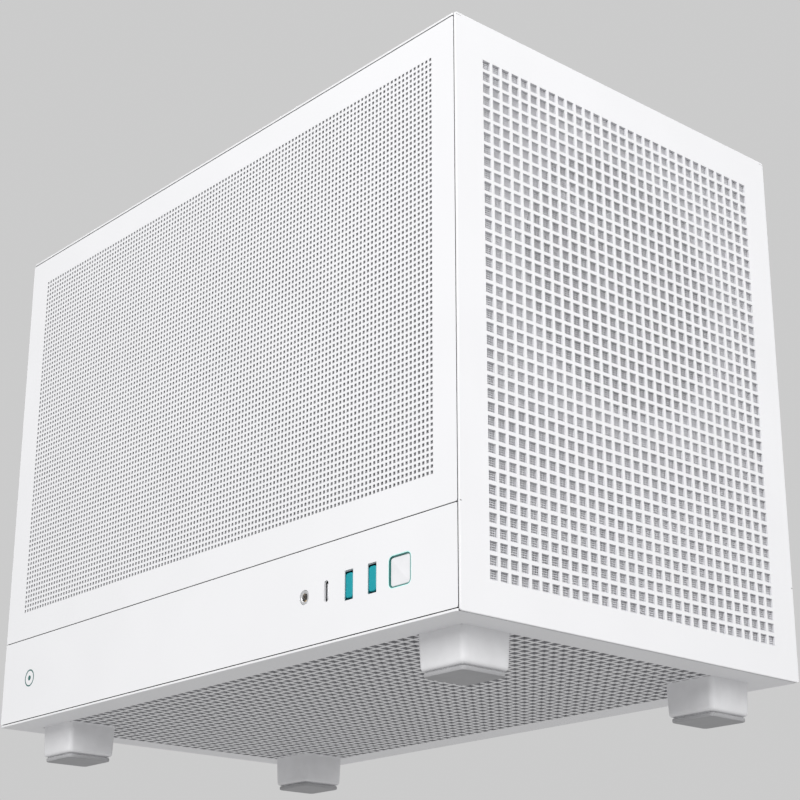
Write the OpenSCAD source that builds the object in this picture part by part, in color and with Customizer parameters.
// A small desktop computer tower: a white sheet-steel case on four square feet,
// with its board, cooler, graphics card, power supply, fans and front sockets inside.
// The origin is on the surface the tower stands on, under the middle of the body.
// +X is the right side, +Y is the back and +Z is up.

/* [Body] */
// Width of the body over the side panels
body_w = 200; // [198:1:250]
// Length of the body from the front panel to the back
body_l = 332; // [328:1:420]
// Height of the body without its feet
body_h = 250; // [246:1:320]
// Thickness of the outer sheets
sheet = 1; // [0.8:0.1:1.4]
// Gap between neighbouring outer sheets
seam = 0.4; // [0.2:0.1:0.8]
// Radius of the outer sheets' corners
corner_r = 0.9; // [0.4:0.1:1.6]
// Height of the seam over the socket strip, above the underside of the body
strip_h = 41.5; // [40:0.5:60]
// Thickness of a dust filter
filter_t = 0.6; // [0.4:0.1:1]
// Thickness of the inner frame's sheets
frame_t = 1; // [0.8:0.1:1.4]
// Width of the folded edges of the inner frame
flange = 12; // [10:1:16]

/* [Feet] */
// Width of a foot where it meets the body
foot_w = 26; // [20:0.5:36]
// Height of a foot's block
foot_block_h = 14.6; // [8:0.2:24]
// Height of the pad under a foot
foot_pad_h = 2.4; // [1.6:0.2:4]
// Distance from the body's edges to a foot
foot_inset = 15; // [12:0.5:20]
// How much narrower a foot is at its lower end
foot_draft = 0.9; // [0:0.1:2]
// Step in from a foot's block to its pad, on each side
foot_step = 2; // [1:0.2:4]

/* [Sockets and button] */
// Distance from the front face to the power button's middle
button_y = 33.6; // [28:0.2:36]
// Distance from the front face to the first socket
socket_y = 49.8; // [48:0.2:54]
// Distance between neighbouring sockets
socket_pitch = 14; // [12:0.2:16]
// Height of the button and the sockets above the underside of the body
socket_z = 21.6; // [18:0.2:24]
// Width of the power button's opening
button_w = 13.2; // [11:0.2:16]
// Width of the light ring round the button
ring_w = 0.7; // [0.5:0.1:1.2]
// Travel of the power button
button_travel = 1; // [0.6:0.1:1.4]

/* [Main board] */
// Side of the square main board
board_w = 170; // [160:1:176]
// Thickness of the main board
board_t = 1.6; // [1.2:0.2:2]
// Length of the standoffs under the board
standoff_h = 6.5; // [5:0.5:8]
// Distance from the right panel to the board's tray
tray_gap = 9; // [6:0.5:12]

/* [Fans] */
// Side of a square fan frame
fan_w = 120; // [116:1:124]
// Depth of a fan frame
fan_d = 25; // [22:0.5:28]
// Distance between a fan's screws
fan_pitch = 105; // [102:0.5:106]
// Number of blades on a fan rotor
fan_blades = 9; // [5:1:11]

/* [Power supply] */
// Width of the power supply
psu_w = 150; // [140:1:156]
// Thickness of the power supply, from its fan face to its back
psu_d = 86; // [80:1:96]
// Length of the power supply
psu_l = 140; // [130:1:146]

/* [Graphics card] */
// Length of the graphics card
card_l = 204; // [180:1:216]
// Thickness of the card's fan cowl
card_d = 38; // [36:0.5:40]
// Diameter of the card's fans
card_fan_d = 86; // [80:1:88]

/* [Hidden] */

// Clearances
fit = 0.1;           // a sliding or seated fit, on each side
spindle_fit = 0.05;  // a shaft in its bore, on the radius

// The outer box
x_out = body_w / 2;
y_out = body_l / 2;
z_bot = foot_block_h + foot_pad_h;
z_top = z_bot + body_h;
x_in = x_out - sheet;
floor_z = z_bot + sheet;
roof_z = z_top - sheet;
side_y = [-y_out + sheet + seam, y_out];
strip_z = [floor_z + seam, z_bot + strip_h - seam / 2];
panel_z = [z_bot + strip_h + seam / 2, roof_z - seam];
frame_y = -y_out + sheet + filter_t + 2 * fit;
frame_back = frame_y + frame_t;
rear_in = y_out - sheet;
socket_level = z_bot + socket_z;

// Clips that hold the lift-off panels
clip_d = 4;
clip_l = 7;
clip_bush_d = 7;
clip_bush_l = 4.6;
clip_inset = 5;
clip_low = 20;
clip_high = 26;

// Main board, against the right side, its sockets at the back
tray_x = x_in - tray_gap;
board_back = tray_x - frame_t - standoff_h;
board_face = board_back - board_t;
board_y = [rear_in - 1 - board_w, rear_in - 1];
board_z = [roof_z - 8 - board_w, roof_z - 8];
board_hole_y = [board_y[0] + 4.9, board_y[1] - 10.2];
board_hole_z = [board_z[0] + 6.2, board_z[1] - 6.3];
shield_x = [board_face + 2.2 - 44.4, board_face + 2.2];
shield_z = [board_z[1] - 150, board_z[1] - 4.4];
// Blocks of sockets: place below the shield's top, length, height above the board and the
// number of mouths, which are no wider than mouth_max
rear_blocks = [[14, 17, 16, 2], [36, 15, 30, 4], [58, 15, 7.2, 1], [82, 15, 14, 1],
    [106, 15, 30, 4], [132, 15, 14, 1]];
mouth_max = 7;
tower_z = roof_z - 76;
processor_y = board_y[1] - 64;

// Rear fan, beside the sockets
rear_fan_x = shield_x[0] - 10 - fan_w / 2;
fan_bore = fan_w - 4;
hub_d = 40;
spindle_d = 3;
rotor_h = fan_d - 6.5;

// Tower cooler
base_w = 40;
pipe_d = 6;
fins_x = [board_face - 48 - 108, board_face - 48];
fins_y = [processor_y - 25, processor_y + 25];
fin_count = 40;
fin_t = 0.5;
tower_x = (fins_x[0] + fins_x[1]) / 2;

// Memory
memory_y = [board_y[0] + 18, board_y[0] + 28];
memory_z = [board_z[1] - 137, board_z[1] - 4];
slot_h = 7;
header_y = board_y[0] + 6;
header_z = board_z[0] + 78;
header_plug_x = board_face - 28;
drive_z = board_z[0] + 26;

// Graphics card, across the foot of the board, its fans facing down
card_z = board_z[0] + 8;
card_x = [board_face - 116, board_face - 13];
card_y = [rear_in - 2 - card_l, rear_in - 2];
card_bottom = card_z + 0.8 - card_d;
slot_pitch = 20.32;
slot_gap = 12;
slot_x = [card_x[0] + 2, card_x[0] + 106];
card_slot_y = [card_y[1] - 103, card_y[1] - 14];
card_fan_y = [card_y[0] + 52, card_y[1] - 56];
card_mid_x = (card_x[0] + card_x[1]) / 2;
function slot_z(k) = card_z - 2 - k * slot_pitch;
function card_port_x(k) = slot_x[0] + 16 + k * 26;

// Power supply, upright behind the front, its fan facing forwards
bracket_t = 1.2;
psu_y = [frame_back + 1.6, frame_back + 1.6 + psu_d];
psu_z = [roof_z - 20 - psu_l, roof_z - 20];
psu_mid_z = (psu_z[0] + psu_z[1]) / 2;
psu_wall = 1.2;
psu_inlet_at = [-45, psu_y[1] - 24];
psu_switch_at = [-12, psu_y[1] - 24];
switch_w = 20;
rocker_tilt = 8;
rocker_z = psu_z[1] - 0.6;
psu_screws = [[-70, psu_y[0] + 6], [70, psu_y[0] + 6], [-70, psu_y[1] - 6], [44, psu_y[1] - 6]];

// Mains inlet at the back
inlet_at = [-x_in + 27, board_z[0] + 6];
inlet_depth = 22;

// Sockets and button on the left strip
strip_board_x = -x_in + 14.4;
socket_ys = [for (i = [0:3]) -y_out + socket_y + i * socket_pitch];
button_at = -y_out + button_y;
button_depth = 6.4;
plunger_x = [strip_board_x - 4.8 - button_travel, strip_board_x - 2 - button_travel];
strip_posts = [[socket_ys[0], socket_level - 9], [socket_ys[3] + 7, socket_level]];
audio_bore_r = 1.8;
audio_bore_l = 14;

// Clip places
side_clip_y = [frame_y + clip_inset, y_out - clip_inset];
side_clip_z = [panel_z[0] + clip_low, panel_z[1] - clip_high];
front_clip_z = [floor_z + 24, roof_z - 50];
top_clip_y = [-y_out + 50, y_out - 50];
rail_y = [frame_y + flange, y_out - flange];

// Screws that lie flush in the back
screw_head_d = 6.4;

// Places of the leads, as points along their run
board_cable = [[53, 0, 166], [41, -1, 165], [30, -9, 155], [26, -25, 134], [29, -41, 109],
    [36, -60, 88], [43, -84, 77], [46, -104, 82], [46, -112, 94], [46, -112, 106]];
card_cable = [[-23, -41, 91], [-23, -52, 90], [-25, -66, 84], [-28, -84, 80], [-30, -100, 84],
    [-30, -111, 94], [-30, -112, 106]];
socket_cable = [[-83, -98, 38], [-74, -97, 37], [-56, -90, 38], [-20, -80, 44], [26, -70, 54],
    [52, -62, 66], [68, -55, 78], [74, -42, 86], [75, -24, 91], [75, -8, 94], [75, 0, 98],
    [75, 1, 104]];
mains_cable = [[-66, -99.6, 253], [-74, -99, 252], [-82, -93, 244], [-87, -78, 226],
    [-88, -56, 196], [-89, -24, 166], [-89, 16, 142], [-88, 56, 122], [-84, 92, 108],
    [-77, 116, 99], [-72, 130, 95], [-72, 144, 94]];

case_white = "#f2f2f4";
inner_white = "#dfe0e2";
dark = "#3a3b3e";

// ---------------------------------------------------------------- shared shapes

// Ranges about a place: half as far each way, or from one offset to another.
function near(at, half) = [at - half, at + half];
function span(at, low, high) = [at + low, at + high];

// A box between two ranges on each axis.
module box(x, y, z) {
    translate([x[0], y[0], z[0]]) cube([x[1] - x[0], y[1] - y[0], z[1] - z[0]]);
}

// Cylinders along X, Y and Z, from one place to another on that axis.
module rod_x(d, x, y, z) {
    translate([x[0], y, z]) rotate([0, 90, 0]) cylinder(d = d, h = x[1] - x[0], $fn = 48);
}
module rod_y(d, x, y, z) {
    translate([x, y[1], z]) rotate([90, 0, 0]) cylinder(d = d, h = y[1] - y[0], $fn = 48);
}
module rod_z(d, x, z, y) {
    translate([x, y, z[0]]) cylinder(d = d, h = z[1] - z[0], $fn = 48);
}

// A square with round corners, about the origin.
module soft_square(w, h, r) {
    square([w - 2 * r, h], center = true);
    square([w, h - 2 * r], center = true);
    for (i = [-1, 1], j = [-1, 1])
        translate([i * (w / 2 - r), j * (h / 2 - r)]) circle(r, $fn = 32);
}

// A flat shape that faces left, stood up between two places on X.
module facing_left(x, y, z) {
    translate([x[0], y, z]) rotate([90, 0, 90]) linear_extrude(x[1] - x[0]) children();
}

// An outer sheet with round corners: level, or upright at the left between two ranges.
module level_sheet(z) {
    translate([0, (side_y[0] + side_y[1]) / 2, z])
        linear_extrude(sheet) soft_square(body_w, side_y[1] - side_y[0], corner_r);
}
module left_sheet(z) {
    facing_left([-x_out, -x_in], (side_y[0] + side_y[1]) / 2, (z[0] + z[1]) / 2)
        soft_square(side_y[1] - side_y[0], z[1] - z[0], corner_r);
}

// A shallow tray of sheet that faces along Y, open on one side, with a rim all round.
module pan(y_sheet, y_rim) {
    y_all = [min(y_sheet[0], y_rim[0]), max(y_sheet[1], y_rim[1])];
    difference() {
        box([-x_in, x_in], y_all, [floor_z, roof_z]);
        box([-x_in + frame_t, x_in - frame_t], y_rim, [floor_z + frame_t, roof_z - frame_t]);
    }
}

// A fan frame about the origin, facing along Z, with its motor plate and spindle at the back.
module fan_frame(w, d, pitch) {
    bore = w - 4;
    plate = 3;
    difference() {
        translate([0, 0, d / 2]) cube([w, w, d], center = true);
        translate([0, 0, -1]) cylinder(d = bore, h = d + 2, $fn = 96);
        for (i = [-1, 1], j = [-1, 1])
            translate([i * pitch / 2, j * pitch / 2, -1]) cylinder(d = 4.3, h = d + 2, $fn = 24);
    }
    cylinder(d = hub_d, h = plate, $fn = 48);
    for (a = [45:90:315])
        rotate(a) translate([hub_d / 2 - 1, -2, 0]) cube([bore / 2 - hub_d / 2 + 1.5, 4, plate]);
    cylinder(d = spindle_d, h = d - 5, $fn = 24);
}

// A fan rotor about the origin, facing along Z, bored for the frame's spindle.
module fan_rotor(d, h, hub, blades) {
    difference() {
        union() {
            cylinder(d = hub, h = h, $fn = 48);
            intersection() {
                cylinder(d = d, h = h, $fn = 96);
                for (i = [0:blades - 1])
                    rotate(i * 360 / blades)
                        translate([d / 4, 0, h / 2]) rotate([34, 0, 0])
                            cube([d / 2, 1.4, 3 * h], center = true);
            }
        }
        translate([0, 0, -1]) cylinder(d = spindle_d + 2 * spindle_fit, h = h - 1, $fn = 24);
    }
}

// The step from one point of a run to the next, rounded through its neighbours.
function unit(v) = v / norm(v);
function bend(p, i, t) =
    let (a = p[max(i - 1, 0)], b = p[i], c = p[i + 1], d = p[min(i + 2, len(p) - 1)])
    0.5 * (2 * b + (c - a) * t + (2 * a - 5 * b + 4 * c - d) * t * t
        + (3 * b - a - 3 * c + d) * t * t * t);
function smooth(p, steps) =
    [for (i = [0:len(p) - 2], s = [0:steps - 1]) bend(p, i, s / steps), p[len(p) - 1]];
function headings(q) =
    [for (i = [0:len(q) - 1]) unit(q[min(i + 1, len(q) - 1)] - q[max(i - 1, 0)])];
function carried(t, n, i = 0) =
    let (m = unit(n - (n * t[i]) * t[i]))
    i == len(t) - 1 ? [m] : concat([m], carried(t, m, i + 1));

// A round lead swept along a run.
module lead(run, d, steps = 3, sides = 10) {
    path = smooth(run, steps);
    along = headings(path);
    across = carried(along, abs(along[0][2]) < 0.9 ? [0, 0, 1] : [0, 1, 0]);
    rings = len(path);
    points = [for (i = [0:rings - 1], k = [0:sides - 1])
        path[i] + d / 2 * (cos(360 * k / sides) * across[i]
            + sin(360 * k / sides) * cross(along[i], across[i]))];
    skin = [for (i = [0:rings - 2], k = [0:sides - 1])
        [i * sides + k, (i + 1) * sides + k, (i + 1) * sides + (k + 1) % sides,
            i * sides + (k + 1) % sides]];
    first = [for (k = [0:sides - 1]) k];
    last = [for (k = [sides - 1:-1:0]) (rings - 1) * sides + k];
    polyhedron(points = points, faces = concat([first], skin, [last]), convexity = 6);
}

// ---------------------------------------------------------------- case

module bottom_panel() {
    color(case_white) level_sheet(z_bot);
}

module bottom_filter() {
    color("white") box([-x_out + 13, x_out - 13], [frame_y + flange + 1, y_out - flange - 1],
        [floor_z, floor_z + filter_t]);
}

// The frame behind the front panel: an open pan with one large window.
module front_frame() {
    color(inner_white) difference() {
        pan([frame_y, frame_back], [frame_back, frame_y + flange]);
        box([-x_in + 16, x_in - 16], [frame_y - 1, frame_back + 1], [floor_z + 14, psu_z[1] - 2]);
        front_clip_places() rod_y(clip_bush_d, 0, [-1, frame_t + 1], 0);
        side_clip_places() rod_x(clip_bush_d, [-1, frame_t + 1], 0, 0);
    }
}

// The back of the case, with the openings for the sockets, cards, fan and mains inlet.
module rear_panel() {
    color(case_white) difference() {
        pan([rear_in, y_out], [y_out - flange, rear_in]);
        box(shield_x, [rear_in - 1, y_out + 1], shield_z);
        for (k = [0:2])
            box(slot_x, [rear_in - 1, y_out + 1], near(slot_z(k), slot_gap / 2));
        translate([rear_fan_x, y_out + 1, tower_z]) rotate([90, 0, 0]) linear_extrude(sheet + 2)
            fan_slots(fan_bore - 4, 8, 5);
        box(near(inlet_at[0], 13.6), [rear_in - 1, y_out + 1], near(inlet_at[1], 10.1));
        rear_screw_places() rod_y(screw_head_d, 0, [-sheet - 1, 1], 0);
        side_clip_places() rod_x(clip_bush_d, [-1, frame_t + 1], 0, 0);
    }
}

// Upright slots clipped to a circle.
module fan_slots(d, pitch, width) {
    count = floor(d / pitch / 2);
    intersection() {
        circle(d = d, $fn = 96);
        for (i = [-count:count], j = [-1, 1])
            translate([i * pitch, j * d / 4]) square([width, d / 2 - 6], center = true);
    }
}

// Angle rails along the two upper edges.
module top_rails() {
    color(inner_white) for (s = [0, 1]) mirror([s, 0, 0]) difference() {
        box([x_in - flange, x_in], rail_y, [roof_z - flange, roof_z]);
        box([x_in - flange - 1, x_in - frame_t], [rail_y[0] - 1, rail_y[1] + 1],
            [roof_z - flange - 1, roof_z - frame_t]);
        for (y = top_clip_y) rod_z(clip_bush_d, x_in - clip_inset, [roof_z - 4, roof_z + 1], y);
    }
}

// The fixed strip under a side panel, with a folded upper edge.
module strip() {
    left_sheet(strip_z);
    box([-x_in, -x_in + tray_gap - 1], rail_y, [strip_z[1] - frame_t, strip_z[1]]);
}

module left_strip() {
    color(case_white) difference() {
        strip();
        facing_left([-x_out - 1, -x_in + 1], button_at, socket_level)
            soft_square(button_w, button_w, 2.4);
        for (k = [0, 1]) facing_left([-x_out - 1, -x_in + 1], socket_ys[k], socket_level)
            square([5.2, 12.2], center = true);
        facing_left([-x_out - 1, -x_in + 1], socket_ys[2], socket_level) pill(2.7, 8.9);
        rod_x(6.2, [-x_out - 1, -x_in + 1], socket_ys[3], socket_level);
    }
}

module right_strip() {
    color(case_white) mirror([1, 0, 0]) strip();
}

// An upright slot shape with round ends.
module pill(w, h) {
    square([w, h - w], center = true);
    for (s = [-1, 1]) translate([0, s * (h - w) / 2]) circle(d = w, $fn = 32);
}

module board_tray() {
    color(inner_white) box([tray_x - frame_t, tray_x], [board_y[0] - 6, rear_in],
        [floor_z + frame_t, roof_z - frame_t]);
}

// The plate that the power supply hangs from, folded up against the front frame.
module supply_bracket() {
    top = psu_z[1] + bracket_t;
    color(inner_white) {
        difference() {
            box([-psu_w / 2, psu_w / 2], [frame_back, psu_y[1]], [psu_z[1], top]);
            box([-psu_w / 2 + 11, psu_w / 2 - 11], [psu_y[0] + 12, psu_y[1] - 12],
                [psu_z[1] - 1, top + 1]);
            for (p = psu_screws) rod_z(4.2, p[0], [psu_z[1] - 1, top + 1], p[1]);
        }
        box([-psu_w / 2, psu_w / 2], [frame_back, frame_back + bracket_t], [top, roof_z - 3]);
    }
}

module feet() {
    color(case_white) foot_places() translate([0, 0, z_bot]) mirror([0, 0, 1])
        linear_extrude(foot_block_h, scale = (foot_w - foot_draft) / foot_w)
            soft_square(foot_w, foot_w, 2.4);
}

module foot_pads() {
    pad_w = foot_w - foot_draft - 2 * foot_step;
    color("gainsboro") foot_places() linear_extrude(foot_pad_h) soft_square(pad_w, pad_w, 2);
}

module foot_places() {
    reach = foot_inset + foot_w / 2;
    for (i = [-1, 1], j = [-1, 1]) translate([i * (x_out - reach), j * (y_out - reach), 0]) children();
}

// ---------------------------------------------------------------- panels that lift off

module front_panel() {
    color(case_white) translate([0, -y_out + sheet, z_bot + body_h / 2]) rotate([90, 0, 0])
        linear_extrude(sheet) soft_square(body_w, body_h, corner_r);
}

module front_filter() {
    color("white") box([-x_out + 13, x_out - 13], [-y_out + sheet, -y_out + sheet + filter_t],
        [z_bot + 10, z_top - 14]);
}

module front_clips() {
    color("silver") front_clip_places()
        rod_y(clip_d, 0, [-filter_t - 2 * fit, clip_l - 1], 0);
}

module side_clips() {
    for (y = side_clip_y, z = side_clip_z) rod_x(clip_d, [-x_in, -x_in + clip_l], y, z);
}

module left_panel() {
    color(case_white) left_sheet(panel_z);
}

module left_clips() {
    color("silver") side_clips();
}

module right_panel() {
    color(case_white) mirror([1, 0, 0]) left_sheet(panel_z);
}

module right_clips() {
    color("silver") mirror([1, 0, 0]) side_clips();
}

module top_panel() {
    color(case_white) level_sheet(roof_z);
}

module top_clips() {
    color("silver") for (s = [-1, 1], y = top_clip_y)
        rod_z(clip_d, s * (x_in - clip_inset), [roof_z - clip_l, roof_z], y);
}

// Where the front clips cross the front frame.
module front_clip_places() {
    for (s = [-1, 1], z = front_clip_z) translate([s * (x_in - clip_inset), frame_y, z]) children();
}

// Where the side clips cross the rims of the front frame and the rear panel, drawn inwards.
module side_clip_places() {
    for (s = [0, 1], y = side_clip_y, z = side_clip_z)
        mirror([s, 0, 0]) translate([-x_in, y, z]) children();
}

// The plastic bushes that the clips push into.
module clip_sockets() {
    bore = clip_d + 2 * fit;
    color("dimgray") {
        side_clip_places() difference() {
            rod_x(clip_bush_d, [0, clip_bush_l], 0, 0);
            rod_x(bore, [-1, clip_bush_l + 1], 0, 0);
        }
        front_clip_places() difference() {
            rod_y(clip_bush_d, 0, [0, clip_bush_l], 0);
            rod_y(bore, 0, [-1, clip_bush_l + 1], 0);
        }
        for (s = [-1, 1], y = top_clip_y) difference() {
            rod_z(clip_bush_d, s * (x_in - clip_inset), [roof_z - clip_bush_l, roof_z], y);
            rod_z(bore, s * (x_in - clip_inset), [roof_z - clip_bush_l - 1, roof_z + 1], y);
        }
    }
}

// ---------------------------------------------------------------- button and sockets

module power_button() {
    cap_w = button_w - 2 * ring_w - 4 * fit;
    face = -x_out + 0.4;
    lip = -x_in + 1 + fit;
    color("white") {
        facing_left([face, -x_out + button_depth], button_at, socket_level)
            soft_square(cap_w, cap_w, 1.6);
        facing_left([lip, lip + 1], button_at, socket_level) soft_square(button_w, button_w, 1.6);
        translate([face, button_at, socket_level]) rotate([0, -90, 0]) rotate(45)
            cylinder(r1 = cap_w / 2, r2 = 0, h = face + x_out, $fn = 4);
        rod_x(4, [-x_out + button_depth, plunger_x[0]], button_at, socket_level);
    }
}

module switch_plunger() {
    color(dark) rod_x(3.4, plunger_x, button_at, socket_level);
}

module button_ring() {
    rim_w = button_w - 2 * fit;
    color("turquoise") difference() {
        union() {
            facing_left([-x_out, -x_in], button_at, socket_level) soft_square(rim_w, rim_w, 2.3);
            facing_left([-x_in, -x_in + 1], button_at, socket_level)
                soft_square(button_w + 2.8, button_w + 2.8, 2.4);
        }
        facing_left([-x_out - 1, -x_in + 2], button_at, socket_level)
            soft_square(rim_w - 2 * ring_w, rim_w - 2 * ring_w, 1.7);
    }
}

module power_switch() {
    color(dark) difference() {
        box([strip_board_x - 4, strip_board_x], near(button_at, 3), near(socket_level, 3));
        rod_x(3.7, [strip_board_x - 5, strip_board_x - 1.4], button_at, socket_level);
    }
}

module usb_sockets() {
    color("silver") for (k = [0, 1]) difference() {
        box([-x_in, strip_board_x], near(socket_ys[k], 3), near(socket_level, 6.6));
        box([-x_in - 1, strip_board_x - 1.4], near(socket_ys[k], 2.6),
            near(socket_level, 6.1));
    }
}

module usb_tongues() {
    color("darkturquoise") for (k = [0, 1])
        box([-x_in + 0.6, strip_board_x - 1.4], span(socket_ys[k], 0.2, 2.4),
            near(socket_level, 5.6));
}

module small_usb_socket() {
    color("gray") {
        difference() {
            facing_left([-x_in, strip_board_x], socket_ys[2], socket_level) pill(3.4, 9.6);
            facing_left([-x_in - 1, strip_board_x - 1.4], socket_ys[2], socket_level)
                pill(2.7, 8.9);
        }
        box([-x_in + 1, strip_board_x - 1], near(socket_ys[2], 0.4),
            near(socket_level, 3.3));
    }
}

module audio_socket() {
    color("silver") difference() {
        union() {
            rod_x(6, [-x_out, strip_board_x], socket_ys[3], socket_level);
            rod_x(8, [-x_in, strip_board_x], socket_ys[3], socket_level);
        }
        rod_x(2 * audio_bore_r, [-x_out - 1, -x_out + audio_bore_l], socket_ys[3], socket_level);
    }
}

module socket_board() {
    color("white") box([strip_board_x, strip_board_x + 1.6],
        [button_at - 10, socket_ys[3] + 10], near(socket_level, 11));
}

// ---------------------------------------------------------------- main board

module main_board() {
    color("#e4e6e8") difference() {
        box([board_face, board_back], board_y, board_z);
        for (y = board_hole_y, z = board_hole_z) rod_x(4, [board_face - 1, board_back + 1], y, z);
    }
}

// Hexagonal posts under the main board and round ones under the socket board.
module standoffs() {
    color("goldenrod") {
        for (y = board_hole_y, z = board_hole_z) difference() {
            translate([board_back, y, z]) rotate([0, 90, 0]) cylinder(d = 6, h = standoff_h, $fn = 6);
            rod_x(3, [board_back - 1, board_back + standoff_h - 1], y, z);
        }
        for (p = strip_posts) rod_x(4, [-x_in, strip_board_x], p[0], p[1]);
    }
}

module processor_socket() {
    color("silver") difference() {
        box([board_face - 4, board_face], near(processor_y, 30), near(tower_z, 30));
        box([board_face - 5, board_face + 1], near(processor_y, 20), near(tower_z, 20));
    }
    color("gainsboro")
        box([board_face - 5, board_face], near(processor_y, 18.5), near(tower_z, 18.5));
}

// The grooved sockets that stand on the board, and its two cable headers.
module board_slots() {
    color(dark) {
        for (y = memory_y) difference() {
            box([board_face - slot_h, board_face], near(y, 3.2), memory_z);
            box([board_face - slot_h - 1, board_face - 2], near(y, 0.8), memory_z + [1.5, -1.5]);
        }
        difference() {
            box([board_face - 11, board_face], card_slot_y, near(card_z, 4));
            box([board_face - 12, board_face - 3], card_slot_y + [1.5, -1.5], near(card_z, 0.9));
        }
        box([board_face - 12, board_face], near(header_y, 5), near(header_z, 26));
        box([board_face - 9, board_face], span(header_y, -4, 5), span(board_z[0], 16, 26));
    }
}

module memory_modules() {
    color("white") for (y = memory_y) {
        box([board_face - 38, board_face - 2.2], near(y, 0.6), memory_z + [2, -2]);
        box([board_face - 40, board_face - slot_h - 2], near(y, 2.8), memory_z + [2, -2]);
    }
}

// Finned covers over the regulators and over the drive module.
module board_heatsinks() {
    color("silver") {
        difference() {
            box([board_face - 18, board_face], near(processor_y, 34), span(board_z[1], -14, -2));
            for (i = [-4:4]) box([board_face - 19, board_face - 6],
                near(processor_y + i * 7, 1.5), span(board_z[1], -15, -1));
        }
        difference() {
            box([board_face - 8, board_face], span(processor_y, -62, 28), near(drive_z, 11));
            for (i = [-2:2]) box([board_face - 9, board_face - 4],
                span(processor_y, -63, 29), near(drive_z + i * 4, 1));
        }
    }
}

// The sockets along the back edge of the board, which reach out through the shield.
module rear_sockets() {
    color("silver") for (b = rear_blocks) difference() {
        box([board_face - b[2], board_face], [rear_in - 20, y_out],
            near(shield_z[1] - b[0], b[1] / 2));
        pitch = (b[2] - 1) / b[3];
        for (i = [0:b[3] - 1])
            box(near(board_face - 1 - (i + 0.5) * pitch, min(pitch - 1, mouth_max) / 2),
                [y_out - 12, y_out + 1], near(shield_z[1] - b[0], b[1] / 2 - 1.4));
    }
}

module rear_shield() {
    color("gainsboro") difference() {
        box(shield_x, [rear_in, rear_in + 0.6], shield_z);
        for (b = rear_blocks) box([board_face - b[2] - fit, board_face + fit],
            [rear_in - 1, y_out], near(shield_z[1] - b[0], b[1] / 2 + fit));
    }
}

// ---------------------------------------------------------------- cooler and fans

module pipe_places() {
    for (k = [0:3]) translate([0, processor_y + (k % 2 == 0 ? -10 : 10), tower_z + (k - 1.5) * 10])
        children();
}

module cooler_base() {
    foot_x = board_face - 5;
    color("silver") {
        box([foot_x - 12, foot_x], near(processor_y, base_w / 2),
            near(tower_z, base_w / 2));
        box([foot_x - 8, foot_x - 5], near(processor_y, 6), near(tower_z, 40));
        for (s = [-1, 1]) rod_x(5, [foot_x - 8, board_face], processor_y, tower_z + s * 36);
        pipe_places() rod_x(pipe_d, [fins_x[0] - 3, foot_x - 6], 0, 0);
    }
}

module cooler_fins() {
    step = (fins_x[1] - fins_x[0] - fin_t) / (fin_count - 1);
    color("gainsboro") difference() {
        for (i = [0:fin_count - 1])
            box(span(fins_x[0] + i * step, 0, fin_t), fins_y, near(tower_z, 60));
        pipe_places() rod_x(pipe_d + 0.02, [fins_x[0] - 4, fins_x[1] + 1], 0, 0);
    }
}

// A fan stood up so that its motor plate is at a place on Y and it faces forwards.
module forward_fan(x, y, z) {
    translate([x, y, z]) rotate([90, 0, 0]) children();
}

module cooler_fan_frame() {
    color("white") forward_fan(tower_x, fins_y[0], tower_z) fan_frame(fan_w, fan_d, fan_pitch);
}

module cooler_fan_rotor() {
    color("white") forward_fan(tower_x, fins_y[0] - 4, tower_z)
        fan_rotor(fan_bore - 3, rotor_h, hub_d, fan_blades);
}

module rear_fan_frame() {
    color("white") forward_fan(rear_fan_x, rear_in, tower_z) fan_frame(fan_w, fan_d, fan_pitch);
}

module rear_fan_rotor() {
    color("white") forward_fan(rear_fan_x, rear_in - 4, tower_z)
        fan_rotor(fan_bore - 3, rotor_h, hub_d, fan_blades);
}

// ---------------------------------------------------------------- power supply

module supply_case() {
    color("white") difference() {
        box([-psu_w / 2, psu_w / 2], psu_y, psu_z);
        box([-psu_w / 2 + psu_wall, psu_w / 2 - psu_wall], psu_y + [psu_wall, -psu_wall],
            psu_z + [psu_wall, -psu_wall]);
        rod_y(fan_bore, 0, [psu_y[0] - 1, psu_y[0] + psu_wall + 1], psu_mid_z);
        box(near(psu_inlet_at[0], 13.6), near(psu_inlet_at[1], 10.1),
            [psu_z[1] - 2, psu_z[1] + 1]);
        box(near(psu_switch_at[0], switch_w / 2), near(psu_switch_at[1], 6),
            [psu_z[1] - 2, psu_z[1] + 1]);
        for (i = [0:6]) box(span(10 + 8 * i, 0, 5), psu_y + [18, -18], [psu_z[1] - 2, psu_z[1] + 1]);
        for (p = psu_screws) rod_z(3.8, p[0], [psu_z[1] - 2, psu_z[1] + 1], p[1]);
    }
}

// The converter board inside the power supply, with its larger parts.
module supply_board() {
    pcb = [psu_y[1] - 9, psu_y[1] - 7.4];
    color("darkseagreen") box([-62, 62], pcb, psu_z + [8, -28]);
    color("gray") for (s = [-1, 1]) box(near(s * 40, 2), [pcb[0] - 34, pcb[0]], psu_z + [16, -40]);
    color("khaki") box([-16, 16], [pcb[0] - 30, pcb[0]], span(psu_mid_z, -18, 14));
    color(dark) for (k = [0:2]) rod_y(16, -22 + 22 * k, [pcb[0] - 32, pcb[0]], psu_z[0] + 26);
    color("goldenrod") for (i = [-56, 56], z = [psu_z[0] + 14, psu_z[1] - 34])
        rod_y(5, i, [pcb[1], psu_y[1] - psu_wall], z);
}

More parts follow.
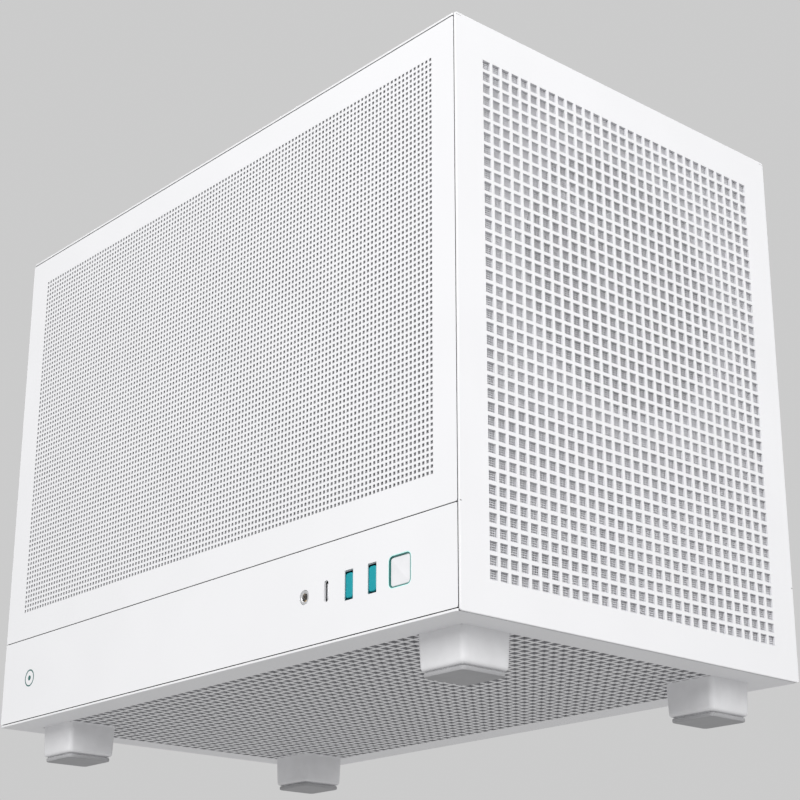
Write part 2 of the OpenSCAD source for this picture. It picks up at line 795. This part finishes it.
// The fan of the power supply, with its wire guard in front.
module supply_fan_frame() {
    color(dark) forward_fan(0, psu_y[0] + psu_wall + fan_d, psu_mid_z)
        fan_frame(fan_w, fan_d, fan_pitch);
    color("silver") translate([0, psu_y[0] - 0.7, psu_mid_z]) rotate([90, 0, 0]) {
        for (r = [14:10:54]) rotate_extrude($fn = 96) translate([r, 0]) circle(d = 1.3, $fn = 16);
        for (a = [45, 135]) rotate(a) cube([120, 1.3, 1.3], center = true);
    }
}

module supply_fan_rotor() {
    color(dark) forward_fan(0, psu_y[0] + psu_wall + fan_d - 4, psu_mid_z)
        fan_rotor(fan_bore - 3, rotor_h, hub_d, fan_blades);
}

// A mains inlet about the origin that faces up, its mouth at height 0.
module inlet(depth) {
    color(dark) {
        difference() {
            translate([0, 0, -depth / 2]) cube([27, 20, depth], center = true);
            translate([0, 0, -depth / 2 + 2]) cube([24, 16.4, depth], center = true);
        }
    }
    color("silver") for (p = [[-7, -1.5], [0, 2.5], [7, -1.5]])
        translate([p[0], p[1], -depth / 2 - 4]) cube([2, 4, depth - 9], center = true);
}

module supply_inlet() {
    translate([psu_inlet_at[0], psu_inlet_at[1], psu_z[1]]) inlet(20);
}

// A rocker that turns about Y on its pins, drawn with its left end pressed.
module supply_switch() {
    half = switch_w / 2 - 0.6;
    color(dark) {
        translate([psu_switch_at[0], psu_switch_at[1] + 5.5, rocker_z])
            rotate([90, 0, 0]) rotate(rocker_tilt) linear_extrude(11)
                polygon([[-half, 2.2], [0, 0.8], [half, 2.2], [half - 1.5, -2], [-half + 1.5, -2]]);
        rod_y(2, psu_switch_at[0], near(psu_switch_at[1], 6 - fit), rocker_z);
    }
}

// ---------------------------------------------------------------- graphics card

module card_board() {
    color("#e4e6e8") {
        box(card_x, [card_y[0] + 2, card_y[1] - 1], near(card_z, 0.8));
        box([card_x[1], board_face - 4], card_slot_y + [2, -2], near(card_z, 0.8));
    }
    color(dark) box([card_x[0] + 2, card_x[0] + 22], span(card_y[0], 0, 14), span(card_z, -9.8, -0.8));
    color("silver") for (k = [0:2]) difference() {
        box(near(card_port_x(k), 9), [rear_in - 13, rear_in - 0.9], span(card_z, -7.8, -0.8));
        box(near(card_port_x(k), 8), [rear_in - 10, rear_in], span(card_z, -6.8, -1.8));
    }
}

module card_heatsink() {
    top = card_z - 0.8;
    run = [card_y[0] + 20, card_y[1] - 16];
    count = floor((run[1] - run[0]) / 4);
    color("silver") {
        box([card_x[0] + 6, card_x[1] - 6], run, [top - 5, top]);
        for (i = [0:count - 1]) box([card_x[0] + 6, card_x[1] - 6], span(run[0] + 4 * i, 0.4, 1.2),
            [card_bottom + 18, top - 5]);
    }
}

// The fan cowl under the card, with its motor bars and spindles, and the plate on its back.
module card_covers() {
    outer_x = [card_x[0] - 4, card_x[1] - 1];
    outer_y = [card_y[0], card_y[1] - 14];
    bar_z = span(card_bottom, 14, 16);
    color("white") {
        difference() {
            box(outer_x, outer_y, [card_bottom, card_z - 0.8]);
            box(outer_x + [2, -2], outer_y + [2, 1], [card_bottom + 2, card_z]);
            for (y = card_fan_y)
                rod_z(card_fan_d + 4, card_mid_x, [card_bottom - 1, card_bottom + 3], y);
            box([card_x[0] + 1.8, card_x[0] + 22.2], span(card_y[0], -1, 3), span(card_z, -10, 0));
            for (i = [0:11]) box(span(outer_x[0], -1, 3), span(card_y[0] + 34 + 12 * i, 0, 8),
                span(card_z, -9, -5));
        }
        for (y = card_fan_y) {
            box(outer_x + [2, -2], near(y, 3), bar_z);
            rod_z(34, card_mid_x, bar_z, y);
            rod_z(spindle_d, card_mid_x, [card_bottom + 5.6, bar_z[0]], y);
        }
        box(card_x, [card_y[0] + 2, card_y[1] - 3], span(card_z, 0.8, 2));
    }
}

module card_fan(y) {
    color("white") translate([card_mid_x, y, card_bottom + 13]) rotate([180, 0, 0])
        fan_rotor(card_fan_d, 10, 34, 9);
}

module card_fan_front() {
    card_fan(card_fan_y[0]);
}

module card_fan_back() {
    card_fan(card_fan_y[1]);
}

// The card's bracket over two slots and the blank cover over the third.
module slot_brackets() {
    across = [slot_x[0] - 4, slot_x[1] + 8];
    color("silver") {
        difference() {
            box(across, [rear_in - 0.9, rear_in], [slot_z(1) - 9, slot_z(0) + 9]);
            for (k = [0:2]) box(near(card_port_x(k), 8), [rear_in - 2, rear_in + 1],
                span(card_z, -6.8, -1.8));
            for (i = [0:8]) box(span(slot_x[0] + 6 + i * 10.5, 0, 7), [rear_in - 2, rear_in + 1],
                near(slot_z(1), 4));
            for (k = [0, 1]) rod_y(3.4, slot_x[1] + 4.5, [rear_in - 2, rear_in + 1], slot_z(k));
        }
        difference() {
            box(across, [rear_in - 0.9, rear_in], near(slot_z(2), 9));
            rod_y(3.4, slot_x[1] + 4.5, [rear_in - 2, rear_in + 1], slot_z(2));
        }
    }
}

// ---------------------------------------------------------------- leads and fasteners

// The mains lead from the rear inlet to the power supply, with its angled plug.
module mains_lead() {
    at = psu_inlet_at;
    plug_z = [psu_z[1] + fit, psu_z[1] + 14];
    color(dark) {
        box(near(at[0], 15), near(at[1], 10), plug_z);
        box(near(at[0], 11.5), near(at[1], 7.8), [psu_z[1] - 6, plug_z[0]]);
        rod_x(9, [mains_cable[0][0], at[0] - 15], at[1], plug_z[1] - 7);
        lead(mains_cable, 7);
    }
}

module inner_leads() {
    color("white") {
        lead(board_cable, 9);
        box([header_plug_x, board_face - 12], near(header_y, 5), near(header_z, 26));
        lead(card_cable, 6);
        lead(socket_cable, 4);
    }
}

module power_inlet() {
    translate([inlet_at[0], y_out, inlet_at[1]]) rotate([-90, 0, 0]) inlet(inlet_depth);
    color(dark) difference() {
        box(near(inlet_at[0], 17), [rear_in - 2, rear_in], near(inlet_at[1], 13.5));
        box(near(inlet_at[0], 13.5), [rear_in - 3, rear_in + 1], near(inlet_at[1], 10));
    }
}

// Where flush screws hold the rear fan and the slot brackets, on the outside of the back.
module rear_screw_places() {
    for (i = [-1, 1], j = [-1, 1])
        translate([rear_fan_x + i * fan_pitch / 2, y_out, tower_z + j * fan_pitch / 2]) children();
    for (k = [0:2]) translate([slot_x[1] + 4.5, y_out, slot_z(k)]) children();
}

module screws() {
    top = psu_z[1] + bracket_t;
    color("silver") {
        rear_screw_places() {
            rod_y(screw_head_d, 0, [-sheet, 0], 0);
            rod_y(3, 0, [-sheet - 6, -sheet], 0);
        }
        for (p = psu_screws) {
            rod_z(7, p[0], [top, top + 2], p[1]);
            rod_z(3.4, p[0], [psu_z[1] - 6, top], p[1]);
        }
        for (y = board_hole_y, z = board_hole_z) {
            rod_x(5.5, [board_face - 1.6, board_face], y, z);
            rod_x(2.8, [board_face, board_back + standoff_h - 1.5], y, z);
        }
    }
}

bottom_panel();
bottom_filter();
front_frame();
rear_panel();
top_rails();
left_strip();
right_strip();
board_tray();
supply_bracket();
clip_sockets();
feet();
foot_pads();
front_panel();
front_filter();
front_clips();
left_panel();
left_clips();
right_panel();
right_clips();
top_panel();
top_clips();
power_button();
switch_plunger();
button_ring();
power_switch();
usb_sockets();
usb_tongues();
small_usb_socket();
audio_socket();
socket_board();
main_board();
standoffs();
processor_socket();
board_slots();
memory_modules();
board_heatsinks();
rear_sockets();
rear_shield();
cooler_base();
cooler_fins();
cooler_fan_frame();
cooler_fan_rotor();
rear_fan_frame();
rear_fan_rotor();
supply_case();
supply_board();
supply_fan_frame();
supply_fan_rotor();
supply_inlet();
supply_switch();
card_board();
card_heatsink();
card_covers();
slot_brackets();
card_fan_front();
card_fan_back();
mains_lead();
inner_leads();
power_inlet();
screws();
